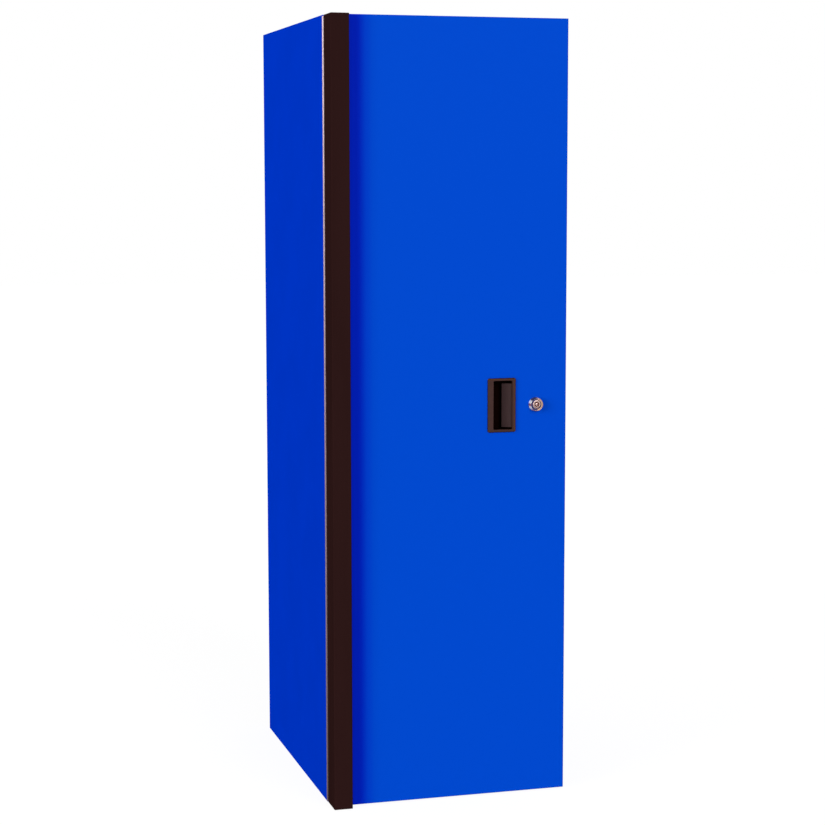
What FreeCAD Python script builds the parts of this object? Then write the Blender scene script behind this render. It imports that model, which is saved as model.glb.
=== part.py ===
"""Tool chest side locker: a tall sheet-steel cabinet that bolts to the side of a tool chest.

One full-height door hangs on a piano hinge at the left front corner. Its hinge stile is a dark
extruded post that stands proud of the door face. A cup pull and a tubular cam lock sit near the
free edge. Three shelves rest on clips in slotted standards.

Frame: millimetres, +Z up, the door faces -Y, origin at the bottom centre of the overall box.
"""
import FreeCAD, Part
import math
import os

V = FreeCAD.Vector

# ---- cabinet body ----
height = 1549.4            # floor to the top of the body
body_width = 482.6         # outside of the two side sheets
depth = 635.0              # front of the post to the back
sheet = 1.2                # body, shelf and door steel
bend = 1.0                 # inside radius of a fold
seam = 0.2                 # room between the lips of the sides and the pans
front_flange = 30.0        # side sheets, turned in at the front
front_lip = 12.0           # and back again behind the flange
rear_flange = 22.0         # side sheets, turned in at the back
base_height = 40.0         # floor pan, down to the ground
base_lip = 22.0
top_height = 34.0          # top pan
top_lip = 14.0

# ---- pressed beads that stiffen the back ----
bead_count = 2
bead_width = 26.0
bead_depth = 5.0
bead_end_margin = 150.0

# ---- holes for the bolts into the chest ----
chest_hole_r = 4.5
chest_hole_rows = 1050.0   # between the lower and the upper pair
chest_hole_span = 360.0    # front to back
chest_hole_low_z = 250.0

# ---- door and post ----
post_width = 37.0
post_depth = 55.0
post_wall = 2.0
post_corner = 1.5
post_floor_gap = 1.0
door_setback = 15.0        # door face behind the front of the post
door_top_gap = 1.0
door_floor_gap = 3.5
door_lip = 20.0
top_cap = 6.0
top_cap_round = 4.5
bottom_cap = 3.0
cap_plug = 10.0            # reach of a cap into the post
cap_plug_wall = 1.8
cap_gap = 0.3

# ---- door stiffener ----
stiffener_crown = 46.0
stiffener_foot = 16.0
stiffener_from_post = 118.0   # centre line, from the post

# ---- piano hinge ----
leaf = 1.0
leaf_width = 23.0
pin_r = 1.45
hinge_fit = 0.05
leaf_standoff = 0.35       # leaf face beyond the knuckles, so that they clear the post
knuckle_count = 7
knuckle_gap = 0.4
knuckle_room = 0.5         # notch beyond the other leaf's knuckles
hinge_end = 3.0
pin_end = 0.8              # pin beyond the end knuckles

# ---- cup pull ----
pull_from_edge = 135.5     # centre, from the free edge of the door
pull_z = 792.0
pull_width = 58.0
pull_height = 107.5
pull_corner = 3.5
bezel = 3.0                # proud of the door face
bezel_edge = 0.8
mouth_left = 17.5          # mouth of the cup, from the centre
mouth_right = 22.5
mouth_height = 97.5
mouth_corner = 2.0
cup_left = 24.0            # undercut behind the left lip
lip_thick = 4.5
cup_depth = 22.0           # floor, behind the door face
ramp_foot = 4.2            # free edge of the ramp, from the centre
ramp_depth = 12.0          # and behind the door face
ramp_sag = 0.8             # hollow of the ramp
ramp_end_low = 3.8         # deep pockets between the ramp and the ends of the cup
ramp_end_high = 6.6
cup_wall = 2.0
cup_hole_gap = 0.4
lug = 5.0                  # lugs behind the cup, which the strap bears on
lug_width = 9.0
lug_span = 50.0
strap = 1.5
strap_width = 18.0
strap_foot = 9.0
strap_gap = 4.0            # strap beyond the ends of the cup

# ---- tubular cam lock ----
lock_from_edge = 64.5
lock_z = 792.0
head_base_r = 14.0
head_face_r = 13.0
head_proud = 11.0
head_recess_r = 10.6
head_recess = 1.2
barrel_r = 9.5
barrel_flats = 16.0
barrel_length = 33.0
barrel_room = 0.2
core_face = 4.0
core_r = 7.0
core_fit = 0.05
core_end_gap = 0.4
keyway_outer_r = 4.9
keyway_inner_r = 3.2
keyway_depth = 3.0
key_notch = 1.6
nut_flats = 24.0
nut_thick = 5.0
cam_thick = 2.0
cam_width = 16.0
cam_reach = 50.0
cam_heel = 9.0
cam_bend_at = 15.0
cam_clearance = 0.6
cam_sweep = 2.0            # room round the cam where it passes the lip of the body
keeper_thick = 1.5
keeper_width = 22.0
keeper_height = 70.0

# ---- magnet catches, strike plates and rubber buffers ----
catch_width = 14.0
catch_height = 44.0
catch_corner = 2.0
catch_gap = 0.3
catch_end = 90.0           # centre of a catch from the end of the door
strike = 0.8
buffer_r = 5.0
buffer_end = 200.0
buffer_count = 2

# ---- shelves and standards ----
standard_face = 14.0
standard_foot = 5.0
standard_rise = 5.0
standard_sheet = 1.0
standard_end_gap = 8.0
standard_front = 60.0      # centre line, from the front of the body
standard_rear = 60.0       # and from the back
slot_pitch = 101.6
slot_width = 9.0
slot_height = 4.0
slot_end = 30.0
shelf_count = 3
shelf_height = 25.0
shelf_lip = 12.0
shelf_front_gap = 6.0
shelf_rear_gap = 4.0
shelf_side_gap = 0.8
clip_thick = 1.5
clip_width = 8.4
clip_ledge = 14.0
clip_drop = 8.0
clip_hook = 3.0
clip_room = 0.3

# ---- planes and places worked out from the driving sizes ----
past = 1.0                 # a cutter runs this far beyond what it cuts
knuckle_r = leaf + pin_r + hinge_fit
leaf_seat = knuckle_r + leaf_standoff
left_x = -(body_width - knuckle_r) / 2
right_x = left_x + body_width
front_y = -depth / 2
back_y = depth / 2
door_y = front_y + door_setback
door_back_y = front_y + post_depth
hinge_y = door_back_y + leaf_seat
body_y = hinge_y + leaf_seat
post_x = left_x + post_width
post_low_z = post_floor_gap + bottom_cap
post_high_z = height - top_cap
door_low_z = door_floor_gap
door_high_z = height - door_top_gap
door_skin_y = door_y + sheet
inside_left_x = left_x + sheet
inside_right_x = right_x - sheet
pan_front_y = body_y + sheet
back_panel_y = back_y - 2 * sheet
hinge_low_z = hinge_end
hinge_high_z = height - hinge_end
knuckle_pitch = (hinge_high_z - hinge_low_z) / knuckle_count
pull_x = right_x - pull_from_edge
cup_back_y = door_y + cup_depth + cup_wall
strap_x = pull_x - cup_left / 2
lug_zs = (pull_z - lug_span / 2, pull_z + lug_span / 2)
lock_x = right_x - lock_from_edge
cam_hub_y = door_y + barrel_length + core_end_gap
cam_tip_y = body_y + sheet + keeper_thick + cam_clearance
catch_x = right_x - door_lip / 2
catch_y = door_back_y + strike + catch_gap
catch_zs = (door_low_z + catch_end, door_high_z - catch_end)
standard_low_z = base_height + standard_end_gap
standard_high_z = height - top_height - standard_end_gap
standard_ys = (body_y + standard_front, back_panel_y - standard_rear)
slot_count = int((standard_high_z - standard_low_z - 2 * slot_end) / slot_pitch) + 1
slot_zs = [standard_low_z + slot_end + i * slot_pitch for i in range(slot_count)]
shelf_slots = [(i + 1) * slot_count // (shelf_count + 1) for i in range(shelf_count)]


def write(name, solids):
    """Save one node, a single solid or a group of like ones."""
    group = solids if isinstance(solids, list) else [solids]
    shape = group[0] if len(group) == 1 else Part.makeCompound(group)
    shape.exportStep("parts/%s.step" % name)


def block(low, high):
    size = high.sub(low)
    return Part.makeBox(size.x, size.y, size.z, low)


def block_between(xa, xb, ya, yb, za, zb):
    """Block whose x and y limits may come in either order."""
    return block(V(min(xa, xb), min(ya, yb), za), V(max(xa, xb), max(ya, yb), zb))


def rod(radius, start, end):
    axis = end.sub(start)
    return Part.makeCylinder(radius, axis.Length, start, axis)


def spread(low, high, count):
    """Evenly spaced places from low to high."""
    return [low + (high - low) * i / (count - 1) for i in range(count)]


def prism(face, low, high):
    """A face in XY, drawn up from one height to another."""
    solid = face.extrude(V(0, 0, high - low))
    solid.translate(V(0, 0, low))
    return solid


def along_y(solid):
    return [e for e in solid.Edges if abs(e.tangentAt(e.FirstParameter).y) > 0.9]


def rounded_plate(x0, x1, z0, z1, y0, y1, radius):
    """Plate that faces the front, with its four corners rounded."""
    solid = block(V(x0, y0, z0), V(x1, y1, z1))
    return solid.makeFillet(radius, along_y(solid))


def left_of(direction):
    return V(-direction.y, direction.x, 0)


def folded(points, thick):
    """Face in XY of a bent strip of sheet. One side runs through the points, the sheet lies to its left."""
    def side(offset):
        edges = []
        first = points[1].sub(points[0]).normalize()
        at = points[0].add(left_of(first).multiply(offset))
        for before, corner, after in zip(points, points[1:], points[2:]):
            a = corner.sub(before).normalize()
            b = after.sub(corner).normalize()
            turn = 1 if a.cross(b).z > 0 else -1
            path_r = bend + thick if turn > 0 else bend
            half = a.getAngle(b) / 2
            centre = corner.sub(a * (path_r * math.tan(half))).add(left_of(a) * (path_r * turn))
            reach = (path_r - offset * turn) * turn
            middle = left_of(a).add(left_of(b)).normalize()
            start = centre.sub(left_of(a) * reach)
            end = centre.sub(left_of(b) * reach)
            edges.append(Part.makeLine(at, start))
            edges.append(Part.Arc(start, centre.sub(middle * reach), end).toShape())
            at = end
        last = points[-1].sub(points[-2]).normalize()
        end = points[-1].add(left_of(last) * offset)
        edges.append(Part.makeLine(at, end))
        return edges
    near, far = side(0), side(thick)
    ends = [Part.makeLine(near[i].Vertexes[j].Point, far[i].Vertexes[j].Point) for i, j in ((0, 0), (-1, -1))]
    return Part.Face(Part.Wire(Part.__sortEdges__(near + far + ends)))


def pan(low, high, lip, mouth):
    """Tray folded on four sides with a lip round its mouth. `mouth` points out of the open side."""
    skin = V(sheet, sheet, sheet)
    rim = V(*[0 if axis else lip for axis in mouth])

    def bent(solid, radius):
        behind = solid.CenterOfMass.dot(mouth) - sheet
        folds = [e for e in solid.Edges if all(v.Point.dot(mouth) < behind for v in e.Vertexes)]
        return solid.makeFillet(radius, folds)
    outer = bent(block(low, high), bend + sheet)
    inner = bent(block(low.add(skin), high.sub(skin)), bend)
    window = block(low.add(rim), high.sub(rim))
    window.translate(mouth * (2 * sheet))
    return outer.cut([inner, window])


# ---- cabinet body: two side sheets, a floor pan, a top pan and a back ----
def side_sheet(mirror):
    """Side of the body, folded in at the front and the back. `mirror` is 1 on the left, -1 on the right."""
    edge = left_x if mirror > 0 else right_x

    def at(inward, y):
        return V(edge + mirror * inward, y, 0)
    line = [at(front_flange, body_y + front_lip), at(front_flange, body_y), at(0, body_y),
            at(0, back_y), at(rear_flange, back_y)]
    if mirror > 0:
        line.reverse()
    solid = prism(folded(line, sheet), 0, height)
    lip_outside = at(front_flange + past, 0).x
    lip_inside = at(front_flange - 2 * sheet - bend, 0).x
    notches = [block_between(lip_outside, lip_inside, pan_front_y, body_y + front_lip + past, low, high)
               for low, high in ((0, base_height + seam), (height - top_height - seam, height))]
    return solid.cut(notches)


def right_side():
    """The side against the chest: bolt holes, and a notch in the lip where the lock's cam goes through."""
    mid_y = (body_y + back_y) / 2
    holes = [rod(chest_hole_r, V(right_x - 2 * sheet, mid_y + side * chest_hole_span / 2, z),
                 V(right_x + past, mid_y + side * chest_hole_span / 2, z))
             for side in (-1, 1) for z in (chest_hole_low_z, chest_hole_low_z + chest_hole_rows)]
    notch = block(V(right_x - front_flange - past, pan_front_y + bend, lock_z - cam_reach - cam_sweep),
                  V(right_x - front_flange + 2 * sheet, body_y + front_lip + past,
                    lock_z + cam_width / 2 + cam_sweep))
    return side_sheet(-1).cut(holes + [notch])


def back_panel():
    """Sheet inside the rear flanges, with upright beads pressed into it."""
    y = back_panel_y
    solid = block(V(inside_left_x + bend, y, 0), V(inside_right_x - bend, y + sheet, height))
    span = inside_right_x - inside_left_x
    low, high = bead_end_margin, height - bead_end_margin
    for i in range(bead_count):
        x = inside_left_x + span * (i + 1) / (bead_count + 1)
        outer = bead_width / 2
        inner = outer - sheet
        solid = solid.fuse(bead(x, outer, low, high, y - bead_depth, y + sheet))
        solid = solid.cut(bead(x, inner, low, high, y - bead_depth + sheet, y + 2 * sheet))
    return solid.removeSplitter()


def bead(x, radius, low, high, y0, y1):
    """Bar with half-round ends, upright, its flat side to the front."""
    bar = block(V(x - radius, y0, low), V(x + radius, y1, high))
    return bar.fuse([rod(radius, V(x, y0, z), V(x, y1, z)) for z in (low, high)])


def base_pan():
    return pan(V(inside_left_x + bend, pan_front_y, 0), V(inside_right_x - bend, back_panel_y, base_height),
               base_lip, V(0, 0, -1))


def top_pan():
    return pan(V(inside_left_x + bend, pan_front_y, height - top_height),
               V(inside_right_x - bend, back_panel_y, height), top_lip, V(0, 0, -1))


# ---- shelf standards, shelves and clips ----
def standard(mirror, y):
    """Slotted hat-section strip, spot welded to the side."""
    wall = inside_left_x if mirror > 0 else inside_right_x
    half = standard_face / 2

    def at(rise, across):
        return V(wall + mirror * rise, y + across, 0)
    rise = standard_rise - standard_sheet
    line = [at(0, -half - standard_foot), at(0, -half), at(rise, -half), at(rise, half),
            at(0, half), at(0, half + standard_foot)]
    if mirror > 0:
        line.reverse()
    solid = prism(folded(line, standard_sheet), standard_low_z, standard_high_z)
    slots = [block_between(at(standard_rise - 2 * standard_sheet, 0).x, at(standard_rise + past, 0).x,
                           y - slot_width / 2, y + slot_width / 2, z, z + slot_height) for z in slot_zs]
    return solid.cut(slots)


def shelf(slot):
    """Steel shelf folded down on all four sides; its lips lie on the clips."""
    bottom = slot_zs[slot] - clip_drop
    margin = standard_rise + clip_thick + shelf_side_gap
    return pan(V(inside_left_x + margin, body_y + front_lip + shelf_front_gap, bottom),
               V(inside_right_x - margin, back_panel_y - bead_depth - shelf_rear_gap, bottom + shelf_height),
               shelf_lip, V(0, 0, -1))


def shelf_clips():
    """Bent clips: a hook through a slot of the standard, a stem, and a ledge under the shelf."""
    clips = []
    for slot in shelf_slots:
        hook_z = slot_zs[slot] + clip_room
        ledge_z = slot_zs[slot] - clip_drop
        for wall, mirror in ((inside_left_x, 1), (inside_right_x, -1)):
            face = wall + mirror * standard_rise
            back = face + mirror * clip_thick
            for y in standard_ys:
                y0, y1 = y - clip_width / 2, y + clip_width / 2
                hook = block_between(face - mirror * clip_hook, back, y0, y1, hook_z, hook_z + clip_thick)
                stem = block_between(face, back, y0, y1, ledge_z - clip_thick, hook_z + clip_thick)
                ledge = block_between(face, face + mirror * clip_ledge, y0, y1, ledge_z - clip_thick, ledge_z)
                clips.append(stem.fuse([hook, ledge]).removeSplitter())
    return clips


# ---- piano hinge ----
def hinge_leaf(side, first):
    """Leaf and its own knuckles. `side` is 1 for the body leaf and -1 for the door leaf."""
    plate = block_between(left_x, left_x + leaf_width, hinge_y + side * (leaf_seat - leaf),
                          hinge_y + side * leaf_seat, hinge_low_z, hinge_high_z)
    knuckles, notches = [], []
    reach = knuckle_r + knuckle_room
    half_gap = knuckle_gap / 2
    for i in range(knuckle_count):
        low = hinge_low_z + i * knuckle_pitch
        high = low + knuckle_pitch
        if i % 2 == first:
            knuckles.append(rod(knuckle_r, V(left_x, hinge_y, low + half_gap), V(left_x, hinge_y, high - half_gap)))
        else:
            notches.append(block(V(left_x - reach, hinge_y - 2 * reach, low - half_gap),
                                 V(left_x + reach, hinge_y + 2 * reach, high + half_gap)))
    bore = rod(pin_r + hinge_fit, V(left_x, hinge_y, -past), V(left_x, hinge_y, height + past))
    return plate.cut(notches).fuse(knuckles).cut(bore).removeSplitter()


def hinge_pin():
    return rod(pin_r, V(left_x, hinge_y, hinge_low_z - pin_end), V(left_x, hinge_y, hinge_high_z + pin_end))


# ---- door ----
def post_outline(inset):
    """Outline of the post in plan, from outside or from inside its wall."""
    solid = block(V(left_x + inset, front_y + inset, 0), V(post_x - inset, door_back_y - inset, 1))
    if inset < post_corner:
        uprights = [e for e in solid.Edges if abs(e.tangentAt(e.FirstParameter).z) > 0.9]
        solid = solid.makeFillet(post_corner - inset, uprights)
    return [f for f in solid.Faces if f.normalAt(0, 0).z < -0.9][0]


def door_post():
    """Hollow extrusion: hinge stile and corner trim in one."""
    hollow = prism(post_outline(post_wall), post_low_z, post_high_z)
    return prism(post_outline(0), post_low_z, post_high_z).cut(hollow)


def cap_skirt(low, high):
    """Ring of a cap that fits inside the post."""
    outer = prism(post_outline(post_wall + cap_gap), low, high)
    return outer.cut(prism(post_outline(post_wall + cap_gap + cap_plug_wall), low, high))


def post_top_cap():
    """Moulded plug with its top edges rounded over."""
    crown = block(V(left_x, front_y, post_high_z), V(post_x, door_back_y, height))
    rim = [e for e in crown.Edges if min(v.Z for v in e.Vertexes) > post_high_z + past]
    crown = crown.makeFillet(top_cap_round, rim).common(prism(post_outline(0), post_high_z, height))
    return crown.fuse(cap_skirt(post_high_z - cap_plug, post_high_z))


def post_bottom_cap():
    return prism(post_outline(0), post_floor_gap, post_low_z).fuse(cap_skirt(post_low_z, post_low_z + cap_plug))


def door_pan():
    """Door skin folded from one sheet, with cut-outs for the pull and the lock."""
    solid = pan(V(post_x, door_y, door_low_z), V(right_x, door_back_y, door_high_z), door_lip, V(0, 1, 0))
    cup = cup_body(cup_hole_gap, door_y - past, door_y + 2 * sheet)
    barrel = lock_barrel(barrel_room, door_y - past, door_y + 2 * sheet)
    return solid.cut([cup, barrel])


def door_stiffener():
    """Upright hat section bonded to the inside of the door skin."""
    middle = post_x + stiffener_from_post
    foot_y = door_skin_y + sheet
    crown_y = door_back_y - sheet
    half = stiffener_crown / 2
    line = [V(middle + half + stiffener_foot, foot_y, 0), V(middle + half, foot_y, 0),
            V(middle + half, crown_y, 0), V(middle - half, crown_y, 0),
            V(middle - half, foot_y, 0), V(middle - half - stiffener_foot, foot_y, 0)]
    return prism(folded(line, sheet), door_low_z + sheet + bend, door_high_z - sheet - bend)


# ---- cup pull ----
def cup_body(grow, y0, y1):
    """Outside of the cup where it goes through the door skin."""
    x0, x1 = pull_x - cup_left - cup_wall - grow, pull_x + mouth_right + cup_wall + grow
    half = mouth_height / 2 + cup_wall + grow
    return rounded_plate(x0, x1, pull_z - half, pull_z + half, y0, y1, pull_corner)


def cup_hollow():
    """Room for the fingers: a mouth, an undercut behind the left lip, and a ramp between two deep pockets."""
    face = door_y - bezel
    floor = door_y + cup_depth
    lip = face + lip_thick
    left, right = pull_x - cup_left, pull_x + mouth_right
    edge = V(pull_x + ramp_foot, door_y + ramp_depth, 0)
    top = V(right, lip, 0)
    across = top.sub(edge).normalize()
    sag = edge.add(top).multiply(0.5).add(left_of(across) * ramp_sag)
    corners = [top, V(left, lip, 0), V(left, floor, 0), V(edge.x, floor, 0), edge]
    edges = [Part.makeLine(a, b) for a, b in zip(corners, corners[1:])] + [Part.Arc(edge, sag, top).toShape()]
    low, high = pull_z - mouth_height / 2, pull_z + mouth_height / 2
    hollow = prism(Part.Face(Part.Wire(edges)), low, high)
    mouth = rounded_plate(pull_x - mouth_left, right, low, high, face - past, lip + past, mouth_corner)
    pockets = [block_between(pull_x, right, lip, floor, low, low + ramp_end_low),
               block_between(pull_x, right, lip, floor, high - ramp_end_high, high)]
    return hollow.fuse([mouth] + pockets)


def pull_cup():
    """One moulding: a bezel on the door face and a cup behind it, with two lugs."""
    half_w, half_h = pull_width / 2, pull_height / 2
    plate = rounded_plate(pull_x - half_w, pull_x + half_w, pull_z - half_h, pull_z + half_h,
                          door_y - bezel, door_y, pull_corner)
    rim = [e for e in plate.Edges if max(v.Y for v in e.Vertexes) < door_y - bezel / 2]
    plate = plate.makeChamfer(bezel_edge, rim)
    lugs = [block_between(strap_x - lug_width / 2, strap_x + lug_width / 2, cup_back_y, cup_back_y + lug,
                          z - lug_width / 2, z + lug_width / 2) for z in lug_zs]
    return plate.fuse([cup_body(0, door_y, cup_back_y)] + lugs).cut(cup_hollow()).removeSplitter()


def upright_strip(points, thick, width, x):
    """Bent strip that runs up the door: its points are (distance behind the frame's origin, height)."""
    solid = folded([V(y, z, 0) for y, z in points], thick).extrude(V(0, 0, width))
    solid.rotate(V(), V(1, 1, 1), 120)
    solid.translate(V(x - width / 2, 0, 0))
    return solid


def pull_strap():
    """Bent steel strap across the back of the cup. Its feet bear on the door skin and draw the cup in."""
    back = cup_back_y + lug
    high = pull_z + mouth_height / 2 + cup_wall + cup_hole_gap + strap_gap
    low = 2 * pull_z - high
    line = [(door_skin_y, high + strap_foot), (door_skin_y, high), (back, high),
            (back, low), (door_skin_y, low), (door_skin_y, low - strap_foot)]
    return upright_strip(line, strap, strap_width, strap_x)


# ---- cam lock ----
def turned(profile):
    """Solid turned about the lock's axis from (radius, distance behind the door face) points."""
    points = [V(lock_x + r, door_y + back, lock_z) for r, back in profile]
    face = Part.Face(Part.makePolygon(points + points[:1]))
    return face.revolve(V(lock_x, door_y, lock_z), V(0, 1, 0), 360)


def lock_barrel(grow, y0, y1):
    """Barrel with two flats, which stop it turning in the door."""
    half = barrel_flats / 2 + grow
    flats = block(V(lock_x - half, y0, lock_z - 2 * barrel_r), V(lock_x + half, y1, lock_z + 2 * barrel_r))
    return rod(barrel_r + grow, V(lock_x, y0, lock_z), V(lock_x, y1, lock_z)).common(flats)


def lock_housing():
    """Tapered head on the door face, a barrel behind it, and a stepped bore for the core."""
    front = -head_proud
    shoulder = front + head_recess + core_face + core_end_gap
    bore_r = core_r + core_fit
    head = turned([(0, front), (head_face_r, front), (head_base_r, 0), (0, 0)])
    bore = turned([(0, front - past), (head_recess_r, front - past), (head_recess_r, shoulder), (bore_r, shoulder),
                   (bore_r, barrel_length + past), (0, barrel_length + past)])
    return head.fuse(lock_barrel(0, door_y, door_y + barrel_length)).cut(bore)


def lock_nut():
    corner_r = nut_flats / 2 / math.cos(math.pi / 6)
    corners = [V(lock_x + corner_r * math.cos(math.pi * i / 3), door_skin_y,
                 lock_z + corner_r * math.sin(math.pi * i / 3)) for i in range(7)]
    body = Part.Face(Part.makePolygon(corners)).extrude(V(0, nut_thick, 0))
    return body.cut(rod(barrel_r + core_fit, V(lock_x, door_y, lock_z), V(lock_x, body_y, lock_z)))


def lock_core():
    """Turning core: a face with the ring-shaped keyway of a tubular key, and a tail for the cam."""
    front = -head_proud + head_recess
    face_r = head_recess_r - core_fit
    end = barrel_length + core_end_gap
    core = turned([(0, front), (face_r, front), (face_r, front + core_face), (core_r, front + core_face),
                   (core_r, end), (0, end)])
    ring = turned([(keyway_inner_r, front - past), (keyway_outer_r, front - past),
                   (keyway_outer_r, front + keyway_depth), (keyway_inner_r, front + keyway_depth)])
    notch = block(V(lock_x - key_notch / 2, door_y + front - past, lock_z + keyway_inner_r),
                  V(lock_x + key_notch / 2, door_y + front + keyway_depth, lock_z + keyway_outer_r + key_notch))
    return core.cut([ring, notch])


def lock_cam():
    """Joggled lever on the tail of the core. It hangs down when unlocked and turns towards the free edge."""
    knee = lock_z - cam_bend_at
    line = [(cam_hub_y, lock_z + cam_heel), (cam_hub_y, knee), (cam_tip_y, knee), (cam_tip_y, lock_z - cam_reach)]
    return upright_strip(line, cam_thick, cam_width, lock_x)


def lock_keeper():
    """Wear plate behind the front flange, where the cam bears when it is locked."""
    y0 = body_y + sheet
    x0 = right_x - front_flange + sheet + bend
    middle = lock_z - cam_reach / 2
    return block(V(x0, y0, middle - keeper_height / 2),
                 V(x0 + keeper_width, y0 + keeper_thick, middle + keeper_height / 2))


# ---- catches and buffers ----
def catch_plate(z, y0, y1):
    """Plate with its corners cut off, a catch or its strike."""
    half_w, half_h = catch_width / 2, catch_height / 2
    plate = block(V(catch_x - half_w, y0, z - half_h), V(catch_x + half_w, y1, z + half_h))
    return plate.makeChamfer(catch_corner, along_y(plate))


def door_buffers():
    """Rubber buttons on the front flange that the door closes against."""
    places = spread(door_low_z + buffer_end, door_high_z - buffer_end, buffer_count)
    return [rod(buffer_r, V(catch_x, door_back_y + catch_gap, z), V(catch_x, body_y, z)) for z in places]


os.makedirs("parts", exist_ok=True)
write("left_side", side_sheet(1))
write("right_side", right_side())
write("back_panel", back_panel())
write("base_pan", base_pan())
write("top_pan", top_pan())
for across, mirror in (("left", 1), ("right", -1)):
    for along, y in zip(("front", "rear"), standard_ys):
        write("%s_%s_standard" % (along, across), standard(mirror, y))
for name, slot in zip(("lower_shelf", "middle_shelf", "upper_shelf"), shelf_slots):
    write(name, shelf(slot))
write("shelf_clips", shelf_clips())
write("hinge_body_leaf", hinge_leaf(1, 0))
write("hinge_door_leaf", hinge_leaf(-1, 1))
write("hinge_pin", hinge_pin())
write("lock_keeper", lock_keeper())
for name, z in zip(("lower_magnet_catch", "upper_magnet_catch"), catch_zs):
    write(name, catch_plate(z, catch_y, body_y))
write("door_buffers", door_buffers())
write("door_pan", door_pan())
write("door_stiffener", door_stiffener())
write("door_post", door_post())
write("post_top_cap", post_top_cap())
write("post_bottom_cap", post_bottom_cap())
write("strike_plates", [catch_plate(z, door_back_y, door_back_y + strike) for z in catch_zs])
write("pull_cup", pull_cup())
write("pull_strap", pull_strap())
write("lock_housing", lock_housing())
write("lock_nut", lock_nut())
write("lock_core", lock_core())
write("lock_cam", lock_cam())
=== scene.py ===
import math

import bmesh
import bpy
from mathutils import Matrix, Vector


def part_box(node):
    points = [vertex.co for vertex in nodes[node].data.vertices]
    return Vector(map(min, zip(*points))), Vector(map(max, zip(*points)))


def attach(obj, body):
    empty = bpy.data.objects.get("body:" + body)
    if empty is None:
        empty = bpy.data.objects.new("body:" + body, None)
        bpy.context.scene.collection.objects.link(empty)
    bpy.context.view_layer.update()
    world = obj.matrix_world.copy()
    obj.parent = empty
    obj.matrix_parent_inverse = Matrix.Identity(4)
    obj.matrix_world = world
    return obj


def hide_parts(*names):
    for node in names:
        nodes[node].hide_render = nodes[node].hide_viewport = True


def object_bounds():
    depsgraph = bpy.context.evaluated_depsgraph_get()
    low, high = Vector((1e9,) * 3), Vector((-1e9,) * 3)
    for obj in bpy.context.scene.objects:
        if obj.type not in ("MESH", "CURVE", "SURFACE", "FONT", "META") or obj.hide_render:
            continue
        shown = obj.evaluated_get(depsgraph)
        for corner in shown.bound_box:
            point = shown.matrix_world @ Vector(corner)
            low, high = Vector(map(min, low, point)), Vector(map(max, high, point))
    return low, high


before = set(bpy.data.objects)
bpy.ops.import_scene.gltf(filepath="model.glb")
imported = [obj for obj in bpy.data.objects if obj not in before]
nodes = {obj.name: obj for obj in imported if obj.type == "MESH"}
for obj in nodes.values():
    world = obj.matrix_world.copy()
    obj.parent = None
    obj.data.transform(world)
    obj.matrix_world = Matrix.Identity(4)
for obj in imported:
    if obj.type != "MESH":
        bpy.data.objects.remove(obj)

scene = bpy.context.scene
cad_low, cad_high = [list(corner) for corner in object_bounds()]


# ---------------------------------------------------------------------------
# Camera. A long lens stands to the left of the locker, a little under its
# top, and looks slightly down, so that both the door and the left side show.
# ---------------------------------------------------------------------------
stand = (-1.13754, -4.09208, 1.23648)
turn = math.radians(15.6515)
dip = math.radians(6.5692)
roll = math.radians(-0.0734)
ahead = Vector((math.sin(turn) * math.cos(dip), math.cos(turn) * math.cos(dip), -math.sin(dip)))
level = Vector((math.cos(turn), -math.sin(turn), 0.0))
upright = level.cross(ahead)
across = level * math.cos(roll) + upright * math.sin(roll)
upward = upright * math.cos(roll) - level * math.sin(roll)
lens = bpy.data.cameras.new("studio_camera")
lens.lens = 88.384
lens.sensor_width = 36.0
camera = bpy.data.objects.new("studio_camera", lens)
aim = Matrix((across, upward, -ahead)).transposed().to_4x4()
camera.matrix_world = Matrix.Translation(stand) @ aim
scene.collection.objects.link(camera)
scene.camera = camera


# ---------------------------------------------------------------------------
# Light. A broad soft source far to the left rakes across the door, so that
# the post throws a soft band of shade on it. A weaker one stands in front
# and to the right, and the pale room fills the rest.
# ---------------------------------------------------------------------------
scene.view_settings.view_transform = "Standard"


def soft_source(name, azimuth, elevation, irradiance, spread):
    """Far, wide light. Azimuth is measured from straight in front of the door, to the left."""
    lamp = bpy.data.lights.new(name, "SUN")
    lamp.energy = irradiance
    lamp.angle = math.radians(spread)
    source = bpy.data.objects.new(name, lamp)
    a, e = math.radians(azimuth), math.radians(elevation)
    towards = Vector((-math.sin(a) * math.cos(e), -math.cos(a) * math.cos(e), math.sin(e)))
    source.rotation_euler = towards.to_track_quat("Z", "Y").to_euler()
    scene.collection.objects.link(source)


soft_source("left_light", azimuth=64.0, elevation=8.0, irradiance=1.954, spread=30.0)
soft_source("front_light", azimuth=-12.0, elevation=22.0, irradiance=1.316, spread=30.0)


def maths(tree, operation, first, second=0.0):
    """A maths node. Either side may be a socket or a number."""
    node = tree.nodes.new("ShaderNodeMath")
    node.operation = operation
    for socket, value in zip(node.inputs, (first, second)):
        if isinstance(value, (int, float)):
            socket.default_value = value
        else:
            tree.links.new(value, socket)
    return node.outputs[0]


def rescaled(tree, field, start, end, low=0.0, high=1.0, way="LINEAR"):
    """`low` where the field is at `start`, `high` where it is at `end`, and steady beyond."""
    run = tree.nodes.new("ShaderNodeMapRange")
    run.interpolation_type = way
    limits = {"From Min": start, "From Max": end, "To Min": low, "To Max": high}
    for socket, value in limits.items():
        run.inputs[socket].default_value = value
    tree.links.new(field, run.inputs["Value"])
    return run.outputs["Result"]


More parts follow.
